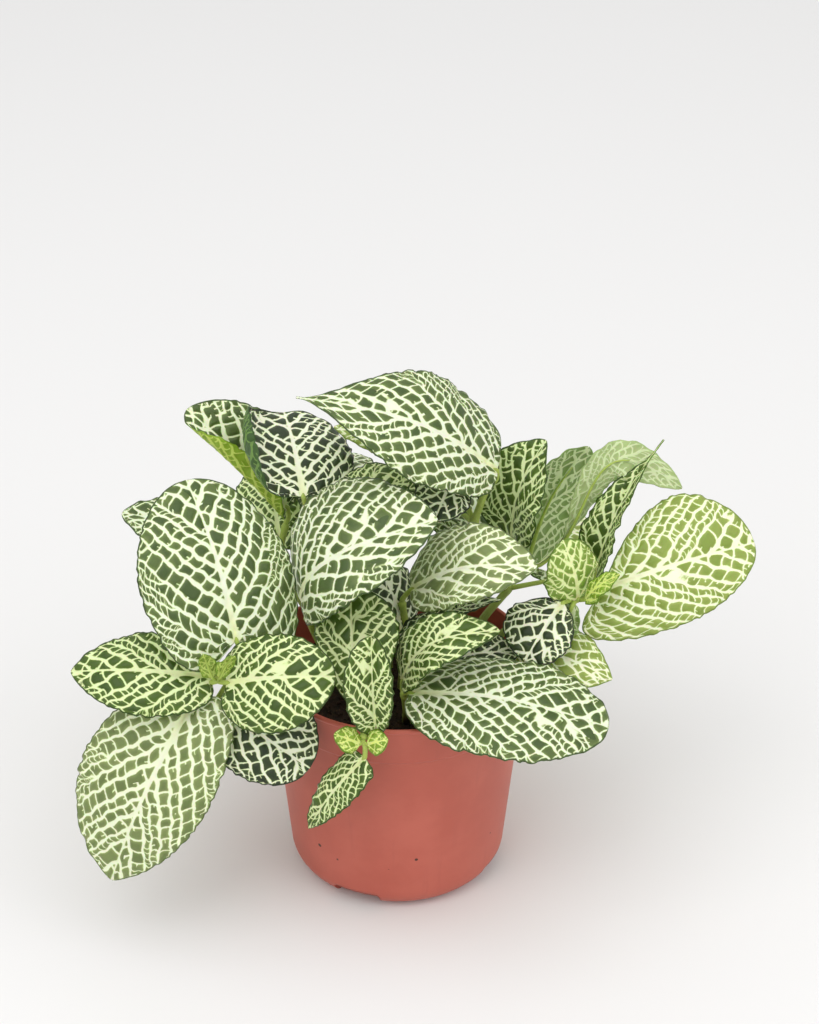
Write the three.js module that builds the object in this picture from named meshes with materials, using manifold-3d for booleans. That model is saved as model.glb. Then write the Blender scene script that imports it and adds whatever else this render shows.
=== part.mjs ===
// A nerve plant in its nursery pot: a thin moulded pot, its potting soil and twelve leafy shoots.
// Millimetres, +Z up. The origin is the middle of the pot's underside, on the surface it stands on.
// The pot's front faces -Y.

import * as THREE from "three";
import { mergeVertices } from "three/addons/utils/BufferGeometryUtils.js";
import Module from "manifold-3d";

const wasm = await Module();
wasm.setup();

// Pot
const POT_HEIGHT = 110;
const RIM_RADIUS = 60;
const COLLAR_DEPTH = 18;
const COLLAR_STEP = 1.2;
const SHOULDER_RADIUS = 57.4;
const FOOT_RADIUS = 50;
const CORNER_RADIUS = 12;
const WALL = 1.3;
const LIP_WIDTH = 2;
const DISC_RADIUS = 30;
const GROOVE_WIDTH = 6;
const GROOVE_DEPTH = 2.5;
const FOOT_GAP_WIDTH = 22;
const FOOT_GAP_HEIGHT = 8.5;
const FOOT_GAP_START = 31.5;
const FOOT_GAP_COUNT = 4;
const FOOT_GAP_ANGLE = 247;
const DRAIN_RADIUS = 2.5;
const DRAIN_COUNT = 8;
const ROUND_SIDES = 36;

// Soil
const SOIL_HEIGHT = 88;
const SOIL_GAP = 0.3;
const SOIL_BUMP = 0.8;
const SOIL_RINGS = [14, 27, 39, 49];
const SOIL_SIDES = 32;

// Stems and stalks
const STEM_ROOT_RADIUS = 2.1;
const STEM_TIP_RADIUS = 1.5;
const STEM_FOOT = 64;
const STEM_LEAVES_SOIL = 91;
const STEM_SIDES = 6;
const HOLE_CLEARANCE = 0.5;
const HOLE_SIDES = 8;
const STALK_RADIUS = 1.1;
const STALK_SIDES = 4;

// Leaf blades
const BLADE = 0.9;
const BLADE_ROWS = 7;
const BLADE_COLUMNS = 4;
const BUD_ROWS = 5;
const BUD_COLUMNS = 2;
const BUD_HALF_WIDTH = 11;
const LEAST_HALF_WIDTH = 0.5;
const EDGE_WAVE = 1.0;
const WAVES_PER_LEAF = 2.2;
const HEM_START = 0.55;
const BEND_STEPS = 8;
const LEAF = {
  roll: 0, arch: 0.1, peak: 0.5, fold: 8, curl: [-30, -30], hem: [0, 0], twist: 0, lobe: 0.05,
  widest: [0.42, 0.42], root: [0.46, 0.46], point: 0.62,
};

// Every leaf by hand: its name, the stem point it grows from, the blade's base and tip, and its half
// widths left and right of the midrib. roll turns the face about the midrib, arch and peak bow the
// midrib, fold and curl shape the cross-section, hem rolls the outer part of each half, lobe draws the
// base back beside the stalk, widest is where each half is broadest, root is 0.46 for a round base
// and 1 for a wedge, and point is 0.46 for a blunt tip and 1 for a sharp one.
const leaf = (name, node, base, tip, half, shape = {}) => ({ name, node, base, tip, half, ...LEAF, ...shape });

const SHOOTS = [
  { name: "left", foot: [-8, -6], path: [[-22, -14, 114], [-46, -26, 131], [-64, -38, 133], [-77, -50, 130]], leaves: [
    leaf("upright", 2, [-69, -42, 145], [-91, 2, 199], [36, 34], { lobe: 0.26, widest: [0.42, 0.36], point: 0.5 }),
    leaf("hanging", 3, [-87, -50, 122], [-127, -70, 36], [28, 34],
      { roll: -42, lobe: 0.12, widest: [0.4, 0.5], point: 0.75 }),
    leaf("outer", 3, [-80, -47, 130], [-141, -42, 129], [20, 18], { roll: -40, lobe: 0.08, point: 0.7 }),
    leaf("inner", 3, [-73, -53, 131], [-26, -64, 142], [20, 24],
      { roll: 46, lobe: 0.14, widest: [0.45, 0.45], point: 0.48 }),
    leaf("under", 2, [-79, -44, 115], [-38, -62, 92], [24, 21], { roll: 50, widest: [0.5, 0.5], point: 0.46 }),
    leaf("bud_a", 3, [-76, -55, 135], [-69, -56, 147], [4, 4], { roll: -60, lobe: 0 }),
    leaf("bud_b", 3, [-79, -55, 135], [-82, -58, 149], [4, 4], { roll: 60, lobe: 0 }),
  ] },
  { name: "front", foot: [-6, -30], path: [[-9, -44, 106], [-12, -58, 116], [-15, -67, 111]], leaves: [
    leaf("folded", 1, [-9, -64, 112], [-11, -60, 160], [14, 11],
      { roll: -30, arch: 0.12, fold: 34, curl: [0, 0], widest: [0.6, 0.6], point: 0.46 }),
    leaf("arched", 0, [-16, -42, 108], [-20, -16, 155], [18, 21],
      { roll: -20, arch: 0.12, curl: [-40, -40], widest: [0.66, 0.66], point: 0.5 }),
    leaf("hanging", 2, [-14, -70, 104], [-39, -66, 62], [10, 9],
      { roll: -60, fold: 20, curl: [-30, -60], lobe: 0, widest: [0.25, 0.25], point: 0.75 }),
    leaf("bud_a", 2, [-16, -69, 110], [-27, -71, 117], [6, 6], { roll: -50, lobe: 0 }),
    leaf("bud_b", 2, [-13, -69, 110], [-4, -71, 114], [6, 6], { roll: 50, lobe: 0 }),
  ] },
  { name: "front_right", foot: [4, -22], path: [[4, -31, 100], [3, -36, 113]], leaves: [
    leaf("outer", 1, [5, -41, 117], [91, -57, 110], [27, 31],
      { roll: 14, arch: 0.08, widest: [0.52, 0.48], point: 0.44 }),
    leaf("arched", 1, [2, -31, 116], [44, -34, 145], [14, 14], { roll: 30, arch: 0.32, fold: 20, lobe: 0.02 }),
  ] },
  { name: "centre_left", foot: [-22, -2], path: [[-34, -8, 120], [-40, -13, 139]], leaves: [
    leaf("arched", 1, [-41, -14, 145], [17, -22, 194], [37, 23],
      { roll: 36, arch: 0.25, peak: 0.4, lobe: 0.04, widest: [0.5, 0.42] }),
  ] },
  { name: "centre", foot: [2, 4], path: [[4, 0, 118], [2, -4, 141]], leaves: [
    leaf("arched", 1, [6, -6, 148], [60, -20, 169], [24, 17], { roll: 34, arch: 0.18 }),
    leaf("shaded", 0, [1, -4, 124], [-9, 4, 154], [20, 20], { lobe: 0 }),
    leaf("narrow", 0, [-2, -18, 127], [45, -14, 148], [6, 6], { roll: 10, curl: [0, 0] }),
    leaf("low", 0, [14, -14, 112], [54, -14, 120], [14, 14], { roll: 20 }),
  ] },
  { name: "right", foot: [22, -4], path: [[40, 0, 114], [62, 3, 130], [80, 4, 136]], leaves: [
    leaf("outer", 2, [90, 4, 141], [158, 12, 161], [31, 27],
      { roll: 46, lobe: 0.34, widest: [0.62, 0.4], root: [0.95, 0.46], point: 0.5 }),
    leaf("upright", 2, [89, 15, 142], [117, 30, 203], [12, 12],
      { roll: 10, fold: 35, curl: [0, 0], lobe: 0, widest: [0.3, 0.3], point: 2.2 }),
    leaf("young", 2, [80, 0, 139], [72, -2, 171], [14, 14], { roll: -75, fold: 0, lobe: 0.02, point: 0.5 }),
    leaf("young_b", 2, [83, -4, 141], [97, -8, 157], [6, 6], { roll: 30, lobe: 0 }),
    leaf("front", 2, [73, -6, 141], [56, -24, 122], [14, 19],
      { roll: -20, lobe: 0, widest: [0.55, 0.55], point: 0.5 }),
    leaf("turned", 2, [78, -2, 138], [70, -10, 122], [10, 7],
      { roll: 150, lobe: 0, widest: [0.55, 0.55], point: 0.5 }),
    leaf("low", 1, [55, -6, 118], [95, -22, 111], [17, 16], { roll: 30, widest: [0.36, 0.42], point: 0.8 }),
  ] },
  { name: "right_back", foot: [26, 12], path: [[38, 19, 114], [50, 24, 129], [54, 29, 142]], leaves: [
    leaf("twisted", 2, [61, 22, 142], [127, 34, 176], [9, 9],
      { roll: 5, arch: 0.42, peak: 0.7, fold: 0, curl: [0, 0], twist: -160, lobe: 0, widest: [0.75, 0.75] }),
    leaf("turned", 1, [59, 40, 133], [86, 52, 187], [20, 20], { roll: -84, lobe: 0 }),
    leaf("upright", 2, [52, 34, 149], [66, 40, 197], [20, 20], { curl: [60, -20] }),
    leaf("low", 1, [66, 22, 134], [90, 42, 112], [17, 17]),
  ] },
  { name: "top", foot: [14, 20], path: [[26, 19, 132], [34, 22, 165], [40, 25, 183]], leaves: [
    leaf("crown", 2, [44, 25, 190], [-43, 8, 236], [26, 30],
      { roll: -36, arch: 0.14, lobe: 0, widest: [0.42, 0.32], point: 1.5 }),
    leaf("small", 2, [24, 22, 188], [16, 4, 177], [12, 14], { roll: -20, lobe: 0 }),
    leaf("narrow", 1, [26, 33, 178], [-28, 36, 206], [10, 10], { roll: -20, lobe: 0 }),
    leaf("back", 2, [35, 43, 174], [20, 90, 160], [15, 15]),
    leaf("back_b", 1, [28, 38, 162], [-4, 74, 176], [14, 14]),
  ] },
  { name: "back_left", foot: [-12, 16], path: [[-28, 16, 130], [-38, 15, 168]], leaves: [
    leaf("broad", 1, [-41, 8, 187], [-51, 58, 201], [34, 27], { curl: [10, -40], hem: [150, 0], point: 0.5 }),
    leaf("shaded", 1, [-28, 14, 172], [6, 13, 194], [16, 15], { roll: 40, lobe: 0 }),
    leaf("back", 1, [-34, 24, 170], [-18, 68, 174], [18, 18]),
  ] },
  { name: "far_left", foot: [-22, 10], path: [[-42, 28, 116], [-54, 42, 130], [-51, 47, 150]], leaves: [
    leaf("curled", 2, [-50, 48, 157], [-94, 52, 206], [22, 24],
      { roll: -50, curl: [165, -20], widest: [0.5, 0.5] }),
    leaf("outer", 1, [-61, 46, 131], [-108, 80, 118], [22, 22]),
    leaf("back", 1, [-54, 49, 134], [-62, 102, 148], [20, 20]),
    leaf("side", 1, [-65, 36, 137], [-125, 42, 158], [18, 18], { roll: -20 }),
    leaf("low", 1, [-58, 38, 126], [-96, 50, 74], [19, 19]),
  ] },
  { name: "back", foot: [-4, 20], path: [[-8, 42, 116], [-12, 58, 131]], leaves: [
    leaf("outer", 1, [-14, 64, 131], [-28, 118, 112], [25, 25]),
    leaf("right", 1, [-8, 60, 135], [30, 98, 156], [20, 20]),
    leaf("upright", 1, [-12, 54, 138], [-20, 64, 174], [17, 17]),
    leaf("left", 1, [-19, 58, 136], [-56, 76, 160], [14, 14]),
  ] },
  { name: "back_right", foot: [18, 30], path: [[28, 45, 114], [38, 60, 128]], leaves: [
    leaf("outer", 1, [42, 64, 129], [76, 112, 108], [23, 23]),
    leaf("back", 1, [36, 65, 132], [14, 116, 136], [21, 21]),
    leaf("side", 1, [48, 63, 131], [98, 74, 126], [17, 17], { roll: 20 }),
  ] },
];

const UP = new THREE.Vector3(0, 0, 1);
const radians = THREE.MathUtils.degToRad;

// Solids and joins

function indexed(positions, triangles) {
  const geometry = new THREE.BufferGeometry();
  geometry.setAttribute("position", new THREE.Float32BufferAttribute(positions, 3));
  geometry.setIndex(triangles);
  return geometry;
}

function solid(geometry) {
  const bare = geometry.clone();
  bare.deleteAttribute("normal");
  bare.deleteAttribute("uv");
  const merged = mergeVertices(bare, 1e-4);
  const index = merged.index.array;
  const triangles = [];
  for (let i = 0; i < index.length; i += 3) {
    const [a, b, c] = [index[i], index[i + 1], index[i + 2]];
    if (a !== b && b !== c && c !== a) triangles.push(a, b, c);
  }
  return new wasm.Manifold(new wasm.Mesh({
    numProp: 3,
    vertProperties: new Float32Array(merged.attributes.position.array),
    triVerts: new Uint32Array(triangles),
  }));
}

function geometryOf(body) {
  const mesh = body.getMesh();
  const geometry = indexed(mesh.vertProperties, Array.from(mesh.triVerts));
  geometry.computeVertexNormals();
  return geometry;
}

function lathe(profile, sides) {
  const points = profile.map(([radius, height]) => new THREE.Vector2(radius, height));
  return new THREE.LatheGeometry(points, sides).rotateX(Math.PI / 2);
}

// A closed tube through rings of the same number of sides, its section turned towards the side vector.
function tube(points, radii, sides, side) {
  const positions = [];
  const triangles = [];
  const last = points.length - 1;
  points.forEach((point, i) => {
    const along = points[Math.min(i + 1, last)].clone().sub(points[Math.max(i - 1, 0)]).normalize();
    const across = side.clone().addScaledVector(along, -side.dot(along)).normalize();
    const beside = along.clone().cross(across);
    for (let k = 0; k < sides; k += 1) {
      const turn = (2 * Math.PI * k) / sides;
      const corner = point.clone()
        .addScaledVector(across, radii[i] * Math.cos(turn))
        .addScaledVector(beside, radii[i] * Math.sin(turn));
      positions.push(corner.x, corner.y, corner.z);
    }
  });
  for (let i = 0; i < last; i += 1) {
    for (let k = 0; k < sides; k += 1) {
      const a = i * sides + k;
      const b = i * sides + ((k + 1) % sides);
      triangles.push(a, b, b + sides, a, b + sides, a + sides);
    }
  }
  for (let k = 1; k < sides - 1; k += 1) {
    triangles.push(0, k + 1, k);
    triangles.push(last * sides, last * sides + k, last * sides + k + 1);
  }
  return indexed(positions, triangles);
}

function curvePoints(points, steps) {
  const curve = new THREE.CatmullRomCurve3(points, false, "catmullrom", 0.5);
  return curve.getPoints(steps);
}

// Pot

// The bottom's rounded corner, from the underside up to the wall.
function cornerArc(radius, thickness) {
  const centre = [FOOT_RADIUS - CORNER_RADIUS, CORNER_RADIUS];
  const reach = radius - thickness;
  return [-90, -60, -30, 0].map((degrees) => [
    centre[0] + reach * Math.cos(radians(degrees)),
    centre[1] + reach * Math.sin(radians(degrees)),
  ]);
}

function potOutside() {
  const collarFoot = POT_HEIGHT - COLLAR_DEPTH;
  return [
    [0, 0],
    [DISC_RADIUS, 0],
    [DISC_RADIUS + 1, GROOVE_DEPTH],
    [DISC_RADIUS + GROOVE_WIDTH - 1, GROOVE_DEPTH],
    [DISC_RADIUS + GROOVE_WIDTH, 0],
    ...cornerArc(CORNER_RADIUS, 0),
    [SHOULDER_RADIUS, collarFoot - COLLAR_STEP],
    [SHOULDER_RADIUS + COLLAR_STEP, collarFoot],
    [RIM_RADIUS - 0.5, POT_HEIGHT - 2],
    [RIM_RADIUS, POT_HEIGHT - 1.4],
    [RIM_RADIUS, POT_HEIGHT - 0.4],
    [RIM_RADIUS - 0.4, POT_HEIGHT],
    [0, POT_HEIGHT],
  ];
}

function potInside() {
  const collarFoot = POT_HEIGHT - COLLAR_DEPTH;
  const raised = GROOVE_DEPTH + WALL;
  return [
    [0, WALL],
    [DISC_RADIUS - WALL, WALL],
    [DISC_RADIUS - WALL + 1, raised],
    [DISC_RADIUS + GROOVE_WIDTH + WALL - 1, raised],
    [DISC_RADIUS + GROOVE_WIDTH + WALL, WALL],
    ...cornerArc(CORNER_RADIUS, WALL),
    [SHOULDER_RADIUS - WALL, collarFoot - COLLAR_STEP],
    [SHOULDER_RADIUS + COLLAR_STEP - WALL, collarFoot],
    [RIM_RADIUS - LIP_WIDTH, POT_HEIGHT - 2],
    [RIM_RADIUS - LIP_WIDTH, POT_HEIGHT + 1],
    [0, POT_HEIGHT + 1],
  ];
}

// The raised gaps in the foot that let water run out from under the pot.
function footGaps(start, width, height) {
  const length = RIM_RADIUS - start;
  let gaps = null;
  for (let i = 0; i < FOOT_GAP_COUNT; i += 1) {
    const box = new THREE.BoxGeometry(length, width, 2 * height)
      .translate(start + length / 2, 0, 0)
      .rotateZ(radians(FOOT_GAP_ANGLE + (360 / FOOT_GAP_COUNT) * i));
    gaps = gaps ? gaps.add(solid(box)) : solid(box);
  }
  return gaps;
}

function drains() {
  const ring = DISC_RADIUS + GROOVE_WIDTH / 2;
  let holes = null;
  for (let i = 0; i < DRAIN_COUNT; i += 1) {
    const turn = (2 * Math.PI * (i + 0.5)) / DRAIN_COUNT;
    const hole = new THREE.CylinderGeometry(DRAIN_RADIUS, DRAIN_RADIUS, 20, 12)
      .rotateX(Math.PI / 2)
      .translate(ring * Math.cos(turn), ring * Math.sin(turn), 0);
    holes = holes ? holes.add(solid(hole)) : solid(hole);
  }
  return holes;
}

function pot() {
  const hollow = solid(lathe(potInside(), ROUND_SIDES)).subtract(
    footGaps(FOOT_GAP_START - WALL, FOOT_GAP_WIDTH + 2 * WALL, FOOT_GAP_HEIGHT + WALL));
  return solid(lathe(potOutside(), ROUND_SIDES))
    .subtract(hollow)
    .subtract(footGaps(FOOT_GAP_START, FOOT_GAP_WIDTH, FOOT_GAP_HEIGHT))
    .subtract(drains());
}

// Soil

function soilBump(x, y) {
  return SOIL_BUMP * (Math.sin(0.23 * x + 0.7) * Math.cos(0.19 * y - 0.4) + 0.5 * Math.sin(0.41 * x - 0.33 * y));
}

// The soil is a plug of the pot's inner shape, a little clear of the wall, with a lumpy top.
function soil() {
  const slope = (SHOULDER_RADIUS - FOOT_RADIUS) / (POT_HEIGHT - COLLAR_DEPTH - COLLAR_STEP - CORNER_RADIUS);
  const wallRadius = (height) => FOOT_RADIUS + slope * (height - CORNER_RADIUS) - WALL - SOIL_GAP;
  const floor = FOOT_GAP_HEIGHT + WALL + SOIL_GAP;
  const profile = [
    [0, floor],
    [wallRadius(CORNER_RADIUS) - 2.5, floor],
    [wallRadius(CORNER_RADIUS), CORNER_RADIUS + 3],
    [wallRadius(SOIL_HEIGHT) - 0.3, SOIL_HEIGHT],
    ...SOIL_RINGS.slice().reverse().map((radius) => [radius, SOIL_HEIGHT]),
    [0, SOIL_HEIGHT],
  ];
  const geometry = lathe(profile, SOIL_SIDES);
  const place = geometry.attributes.position;
  for (let i = 0; i < place.count; i += 1) {
    if (place.getZ(i) > SOIL_HEIGHT - 0.01) {
      place.setZ(i, SOIL_HEIGHT + soilBump(place.getX(i), place.getY(i)));
    }
  }
  let body = solid(geometry);
  for (const { foot: [x, y] } of SHOOTS) {
    const radius = STEM_ROOT_RADIUS + HOLE_CLEARANCE;
    const depth = POT_HEIGHT - STEM_FOOT;
    const hole = new THREE.CylinderGeometry(radius, radius, depth, HOLE_SIDES)
      .rotateX(Math.PI / 2)
      .translate(x, y, STEM_FOOT - SOIL_GAP + depth / 2);
    body = body.subtract(solid(hole));
  }
  return body;
}

// Leaves

// Half breadth along the blade, from 0 to 1: round at the base, and as sharp at the tip as point says.
function breadth(u, widest, root, point) {
  const skewed = u ** (Math.log(0.5) / Math.log(widest));
  return Math.max(Math.sin(Math.PI * skewed), 0) ** (root + (point - root) * u ** 1.5);
}

class Blade {
  constructor(shape) {
    Object.assign(this, shape);
    this.start = new THREE.Vector3(...shape.base);
    this.chord = new THREE.Vector3(...shape.tip).sub(this.start);
    this.length = this.chord.length();
    this.chord.normalize();
    const level = UP.clone().addScaledVector(this.chord, -UP.dot(this.chord)).normalize();
    const beside = this.chord.clone().cross(level);
    this.face = level.multiplyScalar(Math.cos(radians(this.roll)))
      .addScaledVector(beside, Math.sin(radians(this.roll)));
    this.side = this.chord.clone().cross(this.face);
  }

  midrib(u) {
    const bow = Math.sin(Math.PI * u ** (Math.log(0.5) / Math.log(this.peak)));
    return this.start.clone()
      .addScaledVector(this.chord, this.length * u)
      .addScaledVector(this.face, this.length * this.arch * bow);
  }

  axes(u) {
    const along = this.midrib(Math.min(u + 0.004, 1)).sub(this.midrib(Math.max(u - 0.004, 0))).normalize();
    const turn = radians(this.twist) * u;
    const face = this.face.clone().multiplyScalar(Math.cos(turn)).addScaledVector(this.side, Math.sin(turn));
    face.addScaledVector(along, -face.dot(along)).normalize();
    return { along, face, side: along.clone().cross(face) };
  }

  // How steeply the cross-section rises at this share of its half width.
  slope(half, share, broad) {
    const rolled = Math.max(share - HEM_START, 0) / (1 - HEM_START);
    return radians(this.fold + broad * (this.curl[half] * share + this.hem[half] * rolled));
  }

  // The blade's middle surface: u runs from base to tip, v from -1 at the left edge to 1 at the right.
  surface(u, v) {
    const { along, face, side } = this.axes(u);
    const half = v < 0 ? 0 : 1;
    const out = Math.abs(v);
    const broad = breadth(u, this.widest[half], this.root[half], this.point);
    const width = Math.max(this.half[half] * broad, LEAST_HALF_WIDTH);
    const step = (width * out) / BEND_STEPS;
    let sideways = 0;
    let lift = 0;
    for (let k = 0; k < BEND_STEPS; k += 1) {
      const slope = this.slope(half, (out * (k + 0.5)) / BEND_STEPS, broad);
      sideways += step * Math.cos(slope);
      lift += step * Math.sin(slope);
    }
    const wave = EDGE_WAVE * broad * out ** 3 * Math.sin(2 * Math.PI * WAVES_PER_LEAF * u + 1.7 * Math.sign(v));
    const back = 1.4 * this.lobe * this.length * broad * out ** 1.5 * (1 - u) ** 4;
    return this.midrib(u)
      .addScaledVector(along, -back)
      .addScaledVector(side, Math.sign(v) * sideways)
      .addScaledVector(face, lift + wave);
  }
}

// A thin closed blade: two faces split into triangles alike, and the edge between them.
function bladeSolid(blade) {
  const small = Math.max(...blade.half) < BUD_HALF_WIDTH;
  const rows = small ? BUD_ROWS : BLADE_ROWS;
  const columns = small ? BUD_COLUMNS : BLADE_COLUMNS;
  const at = (i, j) => blade.surface(0.35 * (0.5 - 0.5 * Math.cos((Math.PI * i) / rows)) + (0.65 * i) / rows,
    (2 * j) / columns - 1);
  const upper = [];
  const lower = [];
  for (let i = 0; i <= rows; i += 1) {
    for (let j = 0; j <= columns; j += 1) {
      const lengthwise = at(Math.min(i + 1, rows), j).sub(at(Math.max(i - 1, 0), j));
      const crosswise = at(i, Math.min(j + 1, columns)).sub(at(i, Math.max(j - 1, 0)));
      const normal = crosswise.cross(lengthwise).normalize();
      upper.push(...at(i, j).addScaledVector(normal, BLADE / 2).toArray());
      lower.push(...at(i, j).addScaledVector(normal, -BLADE / 2).toArray());
    }
  }
  const across = columns + 1;
  const under = (rows + 1) * across;
  const triangles = [];
  for (let i = 0; i < rows; i += 1) {
    for (let j = 0; j < columns; j += 1) {
      const a = i * across + j;
      const [b, c, d] = [a + 1, a + across + 1, a + across];
      triangles.push(a, b, c, a, c, d);
      triangles.push(under + a, under + c, under + b, under + a, under + d, under + c);
    }
  }
  const edge = [];
  for (let j = 0; j < columns; j += 1) edge.push(j);
  for (let i = 0; i < rows; i += 1) edge.push(i * across + columns);
  for (let j = columns; j > 0; j -= 1) edge.push(rows * across + j);
  for (let i = rows; i > 0; i -= 1) edge.push(i * across);
  edge.forEach((a, k) => {
    const b = edge[(k + 1) % edge.length];
    triangles.push(a, under + a, under + b, a, under + b, b);
  });
  return solid(indexed([...upper, ...lower], triangles));
}

// The stalk runs from the stem into the underside of the blade.
function stalkSolid(blade, start) {
  const early = blade.midrib(0.1).sub(blade.start);
  const middle = start.clone().add(blade.start).multiplyScalar(0.5).addScaledVector(early, -0.2);
  const end = blade.midrib(0.1).addScaledVector(blade.face, -BLADE / 4);
  const points = curvePoints([start, middle, blade.start, end], 3);
  const radii = points.map((_, i) => STALK_RADIUS * (1 - 0.06 * i));
  return solid(tube(points, radii, STALK_SIDES, blade.side));
}

function stemPoints({ foot: [x, y], path }) {
  const bends = [[x, y, STEM_LEAVES_SOIL], ...path].map((point) => new THREE.Vector3(...point));
  const curve = curvePoints(bends, 2 * path.length + 1);
  return [new THREE.Vector3(x, y, STEM_FOOT), ...curve];
}

// One leafy stem, its stalks and blades grown together as one body.
function shoot(plan) {
  const points = stemPoints(plan);
  const radii = points.map((_, i) => THREE.MathUtils.lerp(STEM_ROOT_RADIUS, STEM_TIP_RADIUS, i / points.length));
  const lean = new THREE.Vector3(...plan.path.at(-1)).setZ(0).sub(new THREE.Vector3(...plan.foot, 0));
  let body = solid(tube(points, radii, STEM_SIDES, lean.cross(UP).normalize()));
  for (const shape of plan.leaves) {
    const blade = new Blade(shape);
    const start = new THREE.Vector3(...plan.path[shape.node]);
    body = body.add(stalkSolid(blade, start)).add(bladeSolid(blade));
  }
  return body;
}

// Materials

const POT_PLASTIC = new THREE.MeshStandardMaterial({ color: "#b85f50", roughness: 0.45, metalness: 0 });
const PEAT = new THREE.MeshStandardMaterial({ color: "#1d1612", roughness: 1, metalness: 0 });
const FOLIAGE = new THREE.MeshStandardMaterial({ color: "#8fae5e", roughness: 0.5, metalness: 0 });

const plant = new THREE.Group();

function addPiece(name, body, material) {
  const mesh = new THREE.Mesh(geometryOf(body), material.clone());
  mesh.name = name;
  plant.add(mesh);
}

addPiece("pot", pot(), POT_PLASTIC);
addPiece("soil", soil(), PEAT);
for (const plan of SHOOTS) addPiece(`shoot_${plan.name}`, shoot(plan), FOLIAGE);

export default plant;
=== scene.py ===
"""A nerve plant in its nursery pot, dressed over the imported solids.

Metres, +Z up, the pot's front towards -Y. The plant's tables are in millimetres, as in the solids' source.
"""

import math
import random

import bpy
import numpy as np
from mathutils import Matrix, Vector, noise


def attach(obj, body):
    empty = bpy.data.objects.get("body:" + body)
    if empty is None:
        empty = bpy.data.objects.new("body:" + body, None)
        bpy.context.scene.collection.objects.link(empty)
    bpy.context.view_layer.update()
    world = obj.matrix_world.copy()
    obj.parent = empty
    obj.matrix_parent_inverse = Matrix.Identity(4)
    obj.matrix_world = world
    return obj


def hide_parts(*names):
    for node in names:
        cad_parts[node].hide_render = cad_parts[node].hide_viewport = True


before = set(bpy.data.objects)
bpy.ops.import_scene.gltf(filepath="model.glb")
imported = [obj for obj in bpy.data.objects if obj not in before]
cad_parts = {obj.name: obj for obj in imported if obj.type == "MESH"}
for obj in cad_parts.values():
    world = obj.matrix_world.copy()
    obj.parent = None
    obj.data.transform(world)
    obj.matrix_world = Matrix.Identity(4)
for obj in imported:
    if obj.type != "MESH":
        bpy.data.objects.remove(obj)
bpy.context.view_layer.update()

MM = 0.001
UP = np.array([0.0, 0.0, 1.0])

# Leaves and shoots

LEAF = {
    "roll": 0, "arch": 0.1, "peak": 0.5, "fold": 8, "curl": (-30, -30), "hem": (0, 0), "twist": 0,
    "lobe": 0.05, "widest": (0.42, 0.42), "root": (0.46, 0.46), "point": 0.62, "look": "grey", "veins": 7.0,
}


def leaf(name, node, base, tip, half, **shape):
    """One leaf: the stem point it grows from, base, tip, half widths left and right, and its form."""
    return {"name": name, "node": node, "base": base, "tip": tip, "half": half, **LEAF, **shape}


def bud(name, node, base, tip, half, roll):
    """One small unopened leaf."""
    return leaf(name, node, base, tip, (half, half), roll=roll, lobe=0, look="bud")


def shoot(name, foot, path, leaves):
    """One leafy stem: where it stands in the soil, the points it bends through, and its leaves."""
    return {"name": name, "foot": foot, "path": path, "leaves": leaves}


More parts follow.
